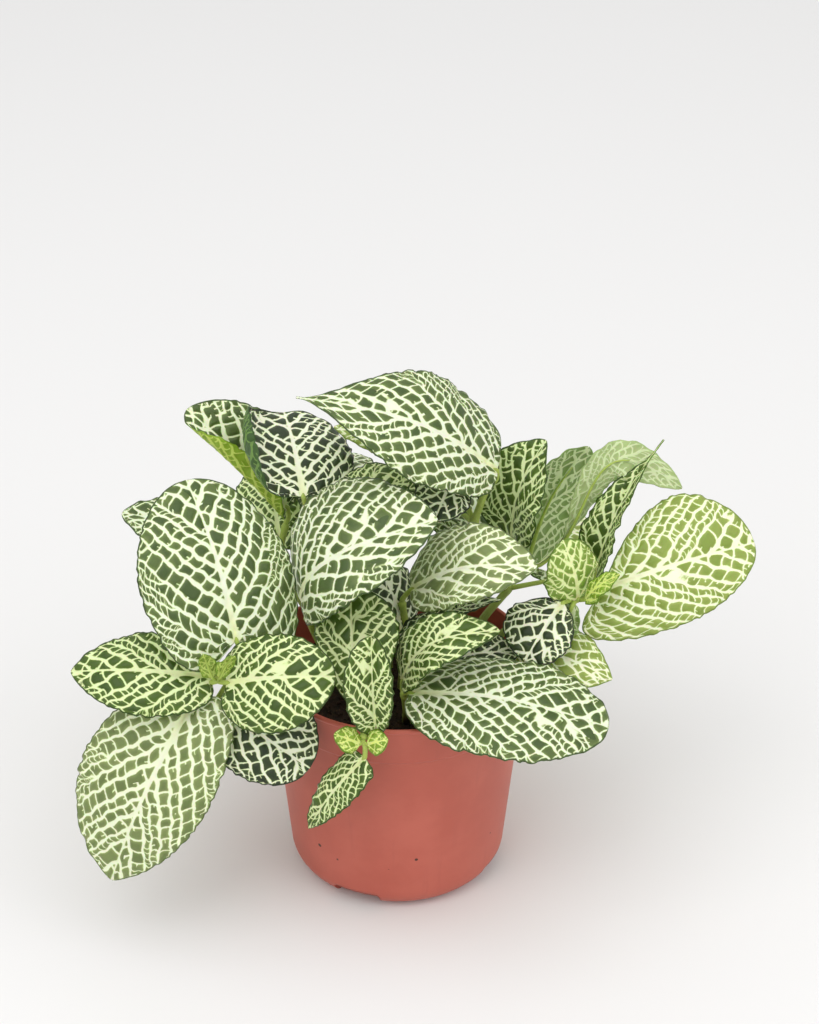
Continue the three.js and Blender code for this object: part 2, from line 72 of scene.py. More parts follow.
SHOOTS = [
    shoot("left", (-8, -6), [(-22, -14, 114), (-46, -26, 131), (-64, -38, 133), (-77, -50, 130)], [
        leaf("upright", 2, (-69, -42, 145), (-91, 2, 199), (36, 34), lobe=0.26, widest=(0.42, 0.36),
             point=0.5),
        leaf("hanging", 3, (-87, -50, 122), (-127, -70, 36), (28, 34), roll=-42, lobe=0.12,
             widest=(0.4, 0.5), point=0.75, look="pale", veins=8.0),
        leaf("outer", 3, (-80, -47, 130), (-141, -42, 129), (20, 18), roll=-40, lobe=0.08, point=0.7,
             look="olive"),
        leaf("inner", 3, (-73, -53, 131), (-26, -64, 142), (20, 24), roll=46, lobe=0.14,
             widest=(0.45, 0.45), point=0.48, look="olive", veins=6.0),
        leaf("under", 2, (-79, -44, 115), (-38, -62, 92), (24, 21), roll=50, widest=(0.5, 0.5), point=0.46,
             look="dark", veins=4.5),
        bud("bud_a", 3, (-76, -55, 135), (-69, -56, 147), 4, -60),
        bud("bud_b", 3, (-79, -55, 135), (-82, -58, 149), 4, 60),
    ]),
    shoot("front", (-6, -30), [(-9, -44, 106), (-12, -58, 116), (-15, -67, 111)], [
        leaf("folded", 1, (-9, -64, 112), (-11, -60, 160), (14, 11), roll=-30, arch=0.12, fold=34,
             curl=(0, 0), widest=(0.6, 0.6), point=0.46, look="olive", veins=6.0),
        leaf("arched", 0, (-16, -42, 108), (-20, -16, 155), (18, 21), roll=-20, arch=0.12, curl=(-40, -40),
             widest=(0.66, 0.66), point=0.5, look="olive", veins=6.0),
        leaf("hanging", 2, (-14, -70, 104), (-39, -66, 62), (10, 9), roll=-60, fold=20, curl=(-30, -60),
             lobe=0, widest=(0.25, 0.25), point=0.75, look="olive", veins=4.0),
        bud("bud_a", 2, (-16, -69, 110), (-27, -71, 117), 6, -50),
        bud("bud_b", 2, (-13, -69, 110), (-4, -71, 114), 6, 50),
    ]),
    shoot("front_right", (4, -22), [(4, -31, 100), (3, -36, 113)], [
        leaf("outer", 1, (5, -41, 117), (91, -57, 110), (27, 31), roll=14, arch=0.08, widest=(0.52, 0.48),
             point=0.44, veins=8.0),
        leaf("arched", 1, (2, -31, 116), (44, -34, 145), (14, 14), roll=30, arch=0.32, fold=20, lobe=0.02,
             look="olive"),
    ]),
    shoot("centre_left", (-22, -2), [(-34, -8, 120), (-40, -13, 139)], [
        leaf("arched", 1, (-41, -14, 145), (17, -22, 194), (37, 23), roll=36, arch=0.25, peak=0.4,
             lobe=0.04, widest=(0.5, 0.42), veins=8.0),
    ]),
    shoot("centre", (2, 4), [(4, 0, 118), (2, -4, 141)], [
        leaf("arched", 1, (6, -6, 148), (60, -20, 169), (24, 17), roll=34, arch=0.18, look="pale"),
        leaf("shaded", 0, (1, -4, 124), (-9, 4, 154), (20, 20), lobe=0, look="dark"),
        leaf("narrow", 0, (-2, -18, 127), (45, -14, 148), (6, 6), roll=10, curl=(0, 0), look="dark"),
        leaf("low", 0, (14, -14, 112), (54, -14, 120), (14, 14), roll=20, look="dark"),
    ]),
    shoot("right", (22, -4), [(40, 0, 114), (62, 3, 130), (80, 4, 136)], [
        leaf("outer", 2, (90, 4, 141), (158, 12, 161), (31, 27), roll=46, lobe=0.34, widest=(0.62, 0.4),
             root=(0.95, 0.46), point=0.5, look="fresh", veins=8.0),
        leaf("upright", 2, (89, 15, 142), (117, 30, 203), (12, 12), roll=10, fold=35, curl=(0, 0), lobe=0,
             widest=(0.3, 0.3), point=2.2, look="olive"),
        leaf("young", 2, (80, 0, 139), (72, -2, 171), (14, 14), roll=-75, fold=0, lobe=0.02, point=0.5,
             look="young"),
        bud("young_b", 2, (83, -4, 141), (97, -8, 157), 6, 30),
        leaf("front", 2, (73, -6, 141), (56, -24, 122), (14, 19), roll=-20, lobe=0, widest=(0.55, 0.55),
             point=0.5, look="dark", veins=5.0),
        leaf("turned", 2, (78, -2, 138), (70, -10, 122), (10, 7), roll=150, lobe=0, widest=(0.55, 0.55),
             point=0.5, look="fresh"),
        leaf("low", 1, (55, -6, 118), (95, -22, 111), (17, 16), roll=30, widest=(0.36, 0.42), point=0.8,
             look="fresh"),
    ]),
    shoot("right_back", (26, 12), [(38, 19, 114), (50, 24, 129), (54, 29, 142)], [
        leaf("twisted", 2, (61, 22, 142), (127, 34, 176), (9, 9), roll=5, arch=0.42, peak=0.7, fold=0,
             curl=(0, 0), twist=-160, lobe=0, widest=(0.75, 0.75), look="pale", veins=5.0),
        leaf("turned", 1, (59, 40, 133), (86, 52, 187), (20, 20), roll=-84, lobe=0, look="fresh"),
        leaf("upright", 2, (52, 34, 149), (66, 40, 197), (20, 20), curl=(60, -20), look="olive"),
        leaf("low", 1, (66, 22, 134), (90, 42, 112), (17, 17)),
    ]),
    shoot("top", (14, 20), [(26, 19, 132), (34, 22, 165), (40, 25, 183)], [
        leaf("crown", 2, (44, 25, 190), (-43, 8, 236), (26, 30), roll=-36, arch=0.14, lobe=0,
             widest=(0.42, 0.32), point=1.5, veins=8.0),
        leaf("small", 2, (24, 22, 188), (16, 4, 177), (12, 14), roll=-20, lobe=0, look="dark", veins=5.0),
        leaf("narrow", 1, (26, 33, 178), (-28, 36, 206), (10, 10), roll=-20, lobe=0, look="fresh"),
        leaf("back", 2, (35, 43, 174), (20, 90, 160), (15, 15)),
        leaf("back_b", 1, (28, 38, 162), (-4, 74, 176), (14, 14), look="olive"),
    ]),
    shoot("back_left", (-12, 16), [(-28, 16, 130), (-38, 15, 168)], [
        leaf("broad", 1, (-41, 8, 187), (-51, 58, 201), (34, 27), curl=(10, -40), hem=(150, 0), point=0.5,
             look="dark", veins=6.0),
        leaf("shaded", 1, (-28, 14, 172), (6, 13, 194), (16, 15), roll=40, lobe=0, look="olive"),
        leaf("back", 1, (-34, 24, 170), (-18, 68, 174), (18, 18)),
    ]),
    shoot("far_left", (-22, 10), [(-42, 28, 116), (-54, 42, 130), (-51, 47, 150)], [
        leaf("curled", 2, (-50, 48, 157), (-94, 52, 206), (22, 24), roll=-50, curl=(165, -20),
             widest=(0.5, 0.5), look="rolled"),
        leaf("outer", 1, (-61, 46, 131), (-108, 80, 118), (22, 22)),
        leaf("back", 1, (-54, 49, 134), (-62, 102, 148), (20, 20), look="olive"),
        leaf("side", 1, (-65, 36, 137), (-125, 42, 158), (18, 18), roll=-20),
        leaf("low", 1, (-58, 38, 126), (-96, 50, 74), (19, 19), look="pale"),
    ]),
    shoot("back", (-4, 20), [(-8, 42, 116), (-12, 58, 131)], [
        leaf("outer", 1, (-14, 64, 131), (-28, 118, 112), (25, 25)),
        leaf("right", 1, (-8, 60, 135), (30, 98, 156), (20, 20), look="olive"),
        leaf("upright", 1, (-12, 54, 138), (-20, 64, 174), (17, 17), look="young"),
        leaf("left", 1, (-19, 58, 136), (-56, 76, 160), (14, 14), look="fresh"),
    ]),
    shoot("back_right", (18, 30), [(28, 45, 114), (38, 60, 128)], [
        leaf("outer", 1, (42, 64, 129), (76, 112, 108), (23, 23), look="olive"),
        leaf("back", 1, (36, 65, 132), (14, 116, 136), (21, 21)),
        leaf("side", 1, (48, 63, 131), (98, 74, 126), (17, 17), roll=20, look="fresh"),
    ]),
]

# How leaves of each age look, above and under, in colours as the eye sees them, from 0 to 255. Three looks
# also carry painted light or shade, noted at each.
LOOK_PARTS = ("cell", "deep", "vein", "under", "under_vein")
LOOKS = {
    # grey: a leaf's own green, greyed and lightened over its cells as a painted sheen
    "grey": ((102, 120, 60), (66, 86, 38), (228, 234, 211), (128, 152, 84), (208, 220, 168)),
    # pale: pale leaves, lightened further as painted sheen for leaves that face up into the light
    "pale": ((134, 148, 88), (104, 120, 66), (234, 240, 212), (172, 190, 126), (208, 219, 172)),
    "olive": ((80, 106, 28), (56, 80, 14), (222, 233, 180), (112, 142, 58), (196, 210, 136)),
    # dark: green darkened as painted shade for leaves in the shade of others, above and under
    "dark": ((56, 72, 32), (34, 50, 20), (236, 240, 218), (54, 86, 26), (104, 136, 64)),
    "fresh": ((150, 166, 80), (128, 148, 60), (240, 244, 212), (136, 164, 88), (214, 224, 176)),
    "young": ((136, 162, 66), (112, 142, 50), (232, 242, 176), (132, 160, 72), (206, 218, 150)),
    "rolled": ((96, 116, 56), (70, 90, 38), (240, 246, 216), (140, 172, 34), (196, 212, 100)),
    "bud": ((140, 168, 48), (112, 146, 34), (222, 234, 128), (132, 160, 50), (196, 212, 110)),
}

# Blades, in millimetres where not a share of the leaf or a count
STEP = 0.004
GRID_STEP = 1.0
ARC_ALLOWANCE = 1.08
LEAST_ROWS = 12
LEAST_COLUMNS = 4
END_CROWDING = 0.35
BLADE = 0.5
BLADE_EDGE = 0.3
LEAST_HALF_WIDTH = 0.5
LOBE_DRAW = 1.4
EDGE_WAVE = 1.0
EDGE_WAVE_SHIFT = 1.7
WAVES_PER_LEAF = 2.2
HEM_START = 0.55
BEND_STEPS = 8
RUFFLE = 1.1
RUFFLE_PERIOD = 11
SCALLOP = 0.5
SCALLOP_PERIOD = 5.5
QUILT = 0.1
QUILT_MOST = 0.55
QUILT_SLOPE = 0.35
QUILT_BELOW = 0.8
RIB_GROOVE = 0.4
RIB_REACH = 1.4
RIM_FADE = 2
RIM_TAPER = 3
RIM_POINTS = 240
SEED_STEP = 0.37
NARROW = 5
NARROW_LIMITS = (0.25, 1)

# Vein net, in millimetres where not a share or a count. The first two scatter lanes and cells evenly.
GOLDEN = 0.61803
SILVER = 0.75488
USUAL_HALF_WIDTH = 26
SIZE_LIMITS = (0.5, 1.1)
INSIDE = (0.004, 0.992)
OFF_RIB = 0.02
SHORT_OF_RIM = 0.999
ROWS_APART = 3
VEIN_LEAN = 1.45
LEAN_LIMITS = (0.2, 0.6)
LEAN_AT_BASE = 1.02
VEIN_BEND = 1.15
VEINS_PER_ROW = 4
ROW_SPACING = (1.1, 0.4)
ROW_LIMITS = (2, 60)
LEFT_SHIFT = 0.12
LEFT_LANES = 41
SWAY = 0.022
SWAY_TURNS = 9
LANE_INSIDE = 7.3
LANE_OUTSIDE = 3.7
LEAST_SIZE = 0.36
MOST_SIZE = 2.2
CLOSED_LANE = 0.4
FORK_LEVELS = 3
MAIN_LEVELS = 2
FORK_LENGTH = 0.22
FORK_SPREAD = 0.3
CELL_LEVELS = 2
RUNG_PITCH = 6.8
RUNG_SHIFT = 7
RUNG_JITTER = 0.55
RUNG_SLANT = 0.8
RUNG_BOW = 1.6
LONGEST_CELL = 1.4
SPLIT_FROM = 0.35
SPLIT_RANGE = 0.3
SPUR_REACH = 0.8
SPUR_TAPER = 3
SPUR_LANES = (2.8, 4.2)
FAR_OFF = 9.0
REACH_ALONG = 0.8
TRACE_STEPS = 10
WANDER = 0.42
WANDER_WAVES = ((2.3, 1.3, 1.0), (1.1, -2.2, 0.7))
MAIN_VEIN = 0.155
FORK_VEIN = 0.122
RUNG_VEIN = 0.09
SPUR_VEIN = 0.05
MIDRIB = (1.35, 0.4)
ROUNDING = 0.2
VEIN_WOBBLE = 0.45
VEIN_EDGE = 0.16

# Leaf colours: distances in millimetres, but the bump in metres
GREEN_RIM = (0.4, 0.9)
CELL_MIDDLE = 1.4
CELL_TINT = 0.3819
LANE_TINT = 0.2679
WARM_VEIN = (222, 230, 158)
FRINGE = (196, 214, 132)
VEIN_FRINGE = 0.34
LEAF_BUMP = 0.00035

# Stems
STEM_FOOT = 64
STEM_LEAVES_SOIL = 91
STEM_ROOT_RADIUS = 2.1
STEM_TIP_RADIUS = 1.5
STEM_END = 0.45
STEM_STEPS = 12
STEM_SIDES = 14
STALK_STEPS = 7
STALK_SIDES = 10
STALK_RADIUS = 1.1
STALK_TAPER = (1.15, 0.98)
RIB_START = 0.95
RIB_TAPER = 0.85
RIB_SPAN = (0.04, 0.8)
RIB_STEPS = 22
SMALL_STALK = 0.6
SMALL_LEAF = 8
SWELLING = 0.4
SWELLING_REACH = 2.6


def linear(colour):
    """A colour as the eye sees it, 0 to 255, as the light that a shader takes."""
    shares = [channel / 255 for channel in colour]
    return tuple(s / 12.92 if s <= 0.04045 else ((s + 0.055) / 1.055) ** 2.4 for s in shares)


def unit(vectors):
    """The vectors at length 1."""
    return vectors / np.linalg.norm(vectors, axis=-1, keepdims=True)


def add_object(name, data):
    """An object in the scene that holds this mesh, lamp or camera."""
    holder = bpy.data.objects.new(name, data)
    bpy.context.scene.collection.objects.link(holder)
    return holder


def make_mesh(name, form):
    """A form's points, in millimetres, and faces as a mesh in metres."""
    points, faces = form
    mesh = bpy.data.meshes.new(name)
    mesh.from_pydata((np.array(points) * MM).tolist(), [], faces)
    mesh.validate()
    return mesh


def make_piece(name, mesh, material):
    """A smooth piece with its material, riding on the plant's one body."""
    mesh.polygons.foreach_set("use_smooth", [True] * len(mesh.polygons))
    mesh.materials.append(material)
    piece = add_object(name, mesh)
    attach(piece, "root")
    return piece


def ring_points(radius, height, sides):
    """Points around the pot's axis."""
    angles = [2 * math.pi * k / sides for k in range(sides)]
    return [(radius * math.cos(angle), radius * math.sin(angle), height) for angle in angles]


def ring_faces(count, sides):
    """The faces between that many neighbouring rings of points."""
    faces = []
    for ring in range(0, (count - 1) * sides, sides):
        for k in range(sides):
            a, b = ring + k, ring + (k + 1) % sides
            faces.append((a, b, b + sides, a + sides))
    return faces


def set_values(mesh, name, values):
    """One number for each point of the mesh, for its material to read."""
    layer = mesh.attributes.new(name, "FLOAT", "POINT")
    layer.data.foreach_set("value", np.asarray(values, np.float32).ravel())


# Shader building


def smooth(share):
    """Runs softly from 0 to 1, as the map range in a material does."""
    share = np.clip(share, 0, 1)
    return share * share * (3 - 2 * share)


def by_calc(operation):
    """A method that runs this operation on a quantity and on what else it is given."""
    return lambda quantity, *others: quantity.calc(operation, *others)


class Quantity:
    """Sums and comparisons shared by the signals in a material and by fields of numbers over a mesh."""

    __add__ = by_calc("ADD")
    __sub__ = by_calc("SUBTRACT")
    __mul__ = by_calc("MULTIPLY")
    __truediv__ = by_calc("DIVIDE")
    floor = by_calc("FLOOR")
    fract = by_calc("FRACT")
    absolute = by_calc("ABSOLUTE")
    least = by_calc("MINIMUM")
    most = by_calc("MAXIMUM")
    blend_least = by_calc("SMOOTH_MIN")
    above = by_calc("GREATER_THAN")

    def __rsub__(self, other):
        return self.calc("MULTIPLY_ADD", -1.0, other)


class Field(Quantity):
    """Numbers over the points of a mesh."""

    OPERATIONS = {
        "ADD": np.add, "SUBTRACT": np.subtract, "MULTIPLY": np.multiply, "DIVIDE": np.divide,
        "FLOOR": np.floor, "FRACT": lambda values: np.mod(values, 1), "ABSOLUTE": np.abs,
        "MINIMUM": np.minimum, "MAXIMUM": np.maximum,
        "GREATER_THAN": lambda values, limit: np.greater(values, limit).astype(float),
        "MULTIPLY_ADD": lambda values, factor, term: values * factor + term,
    }

    def __init__(self, values):
        self.values = np.asarray(values, float)

    def calc(self, operation, *others):
        plain = [other.values if isinstance(other, Field) else other for other in others]
        return Field(self.OPERATIONS[operation](self.values, *plain))

    def ramp(self, low, high, start=0.0, end=1.0):
        return Field(start + (end - start) * smooth((self.values - low) / (high - low)))


class Signal(Quantity):
    """One output of a material's node tree. Sums and comparisons add the nodes for them."""

    def __init__(self, shader, socket):
        self.shader = shader
        self.socket = socket

    def calc(self, operation, *others):
        return self.shader.calc(operation, self, *others)

    def ramp(self, low, high, start=0.0, end=1.0):
        """Runs smoothly from start to end as the signal runs from low to high."""
        feeds = {"Value": self, "From Min": low, "From Max": high, "To Min": start, "To Max": end}
        return self.shader.node("MapRange", "Result", feeds, interpolation_type="SMOOTHSTEP")


class Shader:
    """A material with one Principled surface."""

    def __init__(self, name, **constants):
        self.material = bpy.data.materials.new(name)
        self.material.use_nodes = True
        self.tree = self.material.node_tree
        self.surface = self.tree.nodes["Principled BSDF"]
        for key, value in constants.items():
            self.surface.inputs[key.replace("_", " ")].default_value = value

    def feed(self, socket, value):
        if isinstance(value, Signal):
            self.tree.links.new(value.socket, socket)
        else:
            socket.default_value = value

    def node(self, kind, output, feeds, **settings):
        """The named output of a new node with these settings, fed with these values."""
        node = self.tree.nodes.new(f"ShaderNode{kind}")
        for key, value in settings.items():
            setattr(node, key, value)
        for name, value in feeds.items():
            self.feed(node.inputs[name], value)
        return Signal(self, node.outputs[output])

    def calc(self, operation, *values):
        return self.node("Math", "Value", dict(enumerate(values)), operation=operation)

    def attribute(self, name):
        return self.node("Attribute", "Fac", {}, attribute_name=name)

    def place(self):
        """The point's place on the object, in metres."""
        return self.node("TexCoord", "Object", {})

    def stretched(self, vector, scale):
        return self.node("VectorMath", "Vector", {0: vector, 1: scale}, operation="MULTIPLY")

    def noise(self, vector, scale, detail=3.0, roughness=0.55):
        feeds = {"Vector": vector, "Scale": scale, "Detail": detail, "Roughness": roughness}
        return self.node("TexNoise", "Fac", feeds)

    def voronoi(self, vector, scale):
        return self.node("TexVoronoi", "Distance", {"Vector": vector, "Scale": scale})

    def mix(self, share, first, second):
        """The first colour, and the second where share is 1."""
        node = self.tree.nodes.new("ShaderNodeMix")
        node.data_type = "RGBA"
        self.feed(node.inputs["Factor"], share)
        colours = [socket for socket in node.inputs if socket.type == "RGBA"]
        for socket, value in zip(colours, (first, second)):
            self.feed(socket, value if isinstance(value, Signal) else (*value, 1.0))
        output = next(socket for socket in node.outputs if socket.type == "RGBA")
        return Signal(self, output)

    def paint(self, colour):
        self.feed(self.surface.inputs["Base Color"], colour)

    def gloss(self, roughness):
        self.feed(self.surface.inputs["Roughness"], roughness)

    def bump(self, height, distance, strength=1.0):
        feeds = {"Strength": strength, "Distance": distance, "Height": height}
        self.feed(self.surface.inputs["Normal"], self.node("Bump", "Normal", feeds))


# Leaf blades


def breadth(u, widest, root, point):
    """Half breadth along the blade, 0 to 1. Root and point say how sharp its base and tip are."""
    skewed = np.clip(u, 0, 1) ** (math.log(0.5) / np.log(widest))
    return np.clip(np.sin(math.pi * skewed), 0, 1) ** (root + (point - root) * u ** 1.5)


class Blade:
    """The middle surface of one leaf, as in the solids' source. u runs from base to tip, v across."""

    def __init__(self, shape, seed=0.0):
        self.shape = shape
        self.seed = seed
        self.base = np.array(shape["base"], float)
        chord = np.array(shape["tip"], float) - self.base
        self.length = np.linalg.norm(chord)
        self.chord = chord / self.length
        level = unit(UP - self.chord * (UP @ self.chord))
        beside = np.cross(self.chord, level)
        roll = math.radians(shape["roll"])
        self.face = level * math.cos(roll) + beside * math.sin(roll)
        self.side = np.cross(self.chord, self.face)

    def midrib(self, u):
        bow = np.sin(math.pi * u ** (math.log(0.5) / math.log(self.shape["peak"])))
        rise = self.length * self.shape["arch"] * bow
        run = np.multiply.outer(self.length * u, self.chord)
        return self.base + run + np.multiply.outer(rise, self.face)

    def axes(self, u):
        along = unit(self.midrib(np.minimum(u + STEP, 1)) - self.midrib(np.maximum(u - STEP, 0)))
        turn = math.radians(self.shape["twist"]) * u
        face = np.multiply.outer(np.cos(turn), self.face) + np.multiply.outer(np.sin(turn), self.side)
        face = unit(face - along * (face * along).sum(-1, keepdims=True))
        return along, face, np.cross(along, face)

    def by_side(self, key, v):
        left, right = self.shape[key]
        return np.where(v < 0, left, right)

    def width(self, u, v):
        broad = breadth(u, self.by_side("widest", v), self.by_side("root", v), self.shape["point"])
        return broad, np.maximum(self.by_side("half", v) * broad, LEAST_HALF_WIDTH)

    def draw_back(self, u, out, broad):
        """How far this point lies back towards the stem, for the lobes beside the stalk."""
        return LOBE_DRAW * self.shape["lobe"] * self.length * broad * out ** 1.5 * (1 - u) ** 4

    def slope(self, v, share, broad):
        """How steeply the cross-section rises at this share of its half width."""
        rolled = np.maximum(share - HEM_START, 0) / (1 - HEM_START)
        return np.radians(self.shape["fold"] + broad * (self.by_side("curl", v) * share
                                                        + self.by_side("hem", v) * rolled))

    def ripple(self, u, v, period):
        """An uneven ripple along the margin, from -1 to 1, with this many millimetres to a wave."""
        turns = 2 * math.pi * self.length / period
        phase = self.seed + np.where(v < 0, 2.0, 0.0)
        swing = 0.9 * np.sin(0.31 * turns * u + 2 * phase)
        return 0.62 * np.sin(turns * u + phase + swing) + 0.38 * np.sin(1.71 * turns * u + 3 * phase)

    def scallop(self, u, v):
        """How far the margin bulges sideways here."""
        broad = self.width(u, v)[0]
        return SCALLOP * broad * np.abs(v) ** 3 * self.ripple(u, v, SCALLOP_PERIOD)

    def surface(self, u, v):
        along, face, side = self.axes(u)
        out = np.abs(v)
        sign = np.sign(v)
        broad, width = self.width(u, v)
        step = width * out / BEND_STEPS
        sideways = self.scallop(u, v)
        lift = np.zeros_like(out)
        for k in range(BEND_STEPS):
            slope = self.slope(v, out * (k + 0.5) / BEND_STEPS, broad)
            sideways = sideways + step * np.cos(slope)
            lift = lift + step * np.sin(slope)
        turn = 2 * math.pi * WAVES_PER_LEAF * u + EDGE_WAVE_SHIFT * sign
        wave = EDGE_WAVE * broad * out ** 3 * np.sin(turn)
        wave = wave + RUFFLE * np.sqrt(broad) * out ** 4 * self.ripple(u, v, RUFFLE_PERIOD)
        back = self.draw_back(u, out, broad)
        return (
            self.midrib(u)
            - along * back[..., None]
            + side * (sign * sideways)[..., None]
            + face * (lift + wave)[..., None]
        )

    def flat(self, u, v):
        """The point laid flat: its distances from the midrib and from the base line, in millimetres."""
        broad, width = self.width(u, v)
        out = np.abs(v)
        return width * out, self.length * u - self.draw_back(u, out, broad)


# Vein net: "row" counts every fourth side vein, and "reach" is the way along them in millimetres


def vein_lean(blade, u):
    """How far along the blade a side vein runs on its way to the margin, as a share, less near the tip."""
    most = float(np.clip(VEIN_LEAN * max(blade.shape["half"]) / blade.length, *LEAN_LIMITS))
    return most * (LEAN_AT_BASE - np.clip(u, 0, 1) ** 6)


def vein_start(blade, u, out):
    """Where the side vein through this point leaves the midrib, below 0 if it fans from the base."""
    return u - vein_lean(blade, u) * np.maximum(out, 0) ** VEIN_BEND


def even_row(start, count):
    """The row of the vein that starts there, if the rows grow evenly wider towards the base."""
    return count * (ROW_SPACING[0] * start + ROW_SPACING[1] * start ** 3) / VEINS_PER_ROW


def row_width(blade, u, v, count):
    """The distance for one row here, in millimetres."""
    out = np.maximum(np.abs(v), OFF_RIB)
    sign = np.where(v < 0, -1.0, 1.0)

    def slopes(function):
        in_u = (function(u + STEP, out) - function(u - STEP, out)) / (2 * STEP)
        in_v = (function(u, out + STEP) - function(u, out - STEP)) / (2 * STEP)
        return in_u, in_v

    row_u, row_v = slopes(lambda a, b: even_row(vein_start(blade, a, b), count))
    (x_u, y_u), (x_v, y_v) = slopes(lambda a, b: np.array(blade.flat(np.clip(a, 0, 1), sign * b)))
    area = x_u * y_v - x_v * y_u
    area = np.where(np.abs(area) < 1e-3, 1e-3, area)
    row_x = (row_u * y_v - row_v * y_u) / area
    row_y = (row_v * x_u - row_u * x_v) / area
    return np.clip(1 / np.maximum(np.hypot(row_x, row_y), 1e-6), *ROW_LIMITS)


def reach_along(blade, u, v):
    """How far each point is along its side vein, in millimetres, so that rungs cross the veins squarely."""
    out = np.abs(v)
    sign = np.where(v < 0, -1.0, 1.0)
    start = vein_start(blade, u, out)
    begin = np.maximum(start, 0)
    total = REACH_ALONG * blade.length * begin
    x_before = y_before = None
    for step in range(TRACE_STEPS + 1):
        here = begin + (u - begin) * step / TRACE_STEPS
        away = (np.maximum(here - start, 0) / vein_lean(blade, here)) ** (1 / VEIN_BEND)
        x, y = blade.flat(here, sign * away)
        if step:
            total = total + np.hypot(x - x_before, y - y_before)
        x_before, y_before = x, y
    return total


def scatter(lane, index=0.0):
    """An even scatter from 0 to 1 over the lanes between side veins and the cells in them."""
    return (lane * GOLDEN + index * SILVER).fract()


def split(place, low, high, middle):
    """The ends of the part of a span that holds the place, and 1 where that is the upper part."""
    upper = place.above(middle)
    return low + (middle - low) * upper, middle + (high - middle) * upper, upper


def vein_cells(row, reach, width, depth, side):
    """The net's cell around each point: gaps to its veins in millimetres, its breadth and its numbers.

    Lanes between side veins fork as depth grows, and long cells in a lane are split. It runs on signals in
    the material and on fields over the mesh alike.
    """
    left = (0 - side).above(0.0)
    row = row + left * LEFT_SHIFT
    low = row.floor()
    high = low + 1
    lane = low + left * LEFT_LANES
    gaps = []
    for level in range(FORK_LEVELS):
        late = depth - scatter(lane, 0.9) * FORK_SPREAD - level
        middle = high - (high - low) * late.ramp(0.0, FORK_LENGTH, 0.0, 0.5)
        low, high, upper = split(row, low, high, middle)
        lane = lane + upper * 0.5 ** (level + 1)
        gaps.append((row - low).least(high - row) * width)
    main_gap, side_gap = gaps[MAIN_LEVELS - 1], gaps[-1]
    span = high - low
    across = (row - low) / span
    breadth_here = span * width
    bend = (scatter(lane, 0.4) - 0.5) * RUNG_SLANT * (across - 0.5)
    bend = bend + (scatter(lane, 0.7) - 0.5) * RUNG_BOW * across * (1 - across)
    spot = reach / RUNG_PITCH + scatter(lane) * RUNG_SHIFT + bend
    cell = spot.floor()
    cell = cell - (cell + scatter(lane, cell) * RUNG_JITTER - spot).above(0.0)
    near = cell + scatter(lane, cell) * RUNG_JITTER
    far = cell + 1 + scatter(lane, cell + 1) * RUNG_JITTER
    for level in range(CELL_LEVELS):
        wanted = ((far - near) * RUNG_PITCH - breadth_here * LONGEST_CELL).above(0.0)
        middle = near + (far - near) * (scatter(lane, cell + 0.3) * SPLIT_RANGE + SPLIT_FROM)
        near, far, upper = split(spot, near, far, far - (far - middle) * wanted)
        cell = cell + upper * 0.5 ** (level + 1)
    rung_gap = (spot - near).least(far - spot) * RUNG_PITCH
    spur_place = (across - SPLIT_FROM - scatter(cell, lane) * SPLIT_RANGE).absolute() * breadth_here
    spur_end = (spot - near) - (far - near) * SPUR_REACH * (scatter(cell, lane * 3) - 0.5)
    spur_gap = spur_place + (spur_end * RUNG_PITCH).most(0.0) * SPUR_TAPER
    spur_gap = spur_gap + breadth_here.ramp(*SPUR_LANES, FAR_OFF, 0.0)
    return main_gap, side_gap, rung_gap, spur_gap, breadth_here, lane, cell


def rim_distance(blade, u, v):
    """The distance to the blade's margin, in millimetres."""
    ends = np.linspace(0, 1, RIM_POINTS)
    x, y = blade.flat(u, v)
    x = x + blade.scallop(u, v)
    nearest = np.zeros(u.shape)
    for sign in (-1.0, 1.0):
        side = (v < 0) if sign < 0 else (v >= 0)
        rim_x, rim_y = blade.flat(ends, np.full_like(ends, sign))
        rim_x = rim_x + blade.scallop(ends, np.full_like(ends, sign))
        nearest[side] = np.hypot(x[side][:, None] - rim_x, y[side][:, None] - rim_y).min(axis=1)
    return nearest


# What a leaf's mesh carries for its material. The first five find the cell around a point.
NET_VALUES = ("row", "reach", "width", "depth", "side", "least", "rib", "rim", "along")
CELL_VALUES = NET_VALUES[:5]


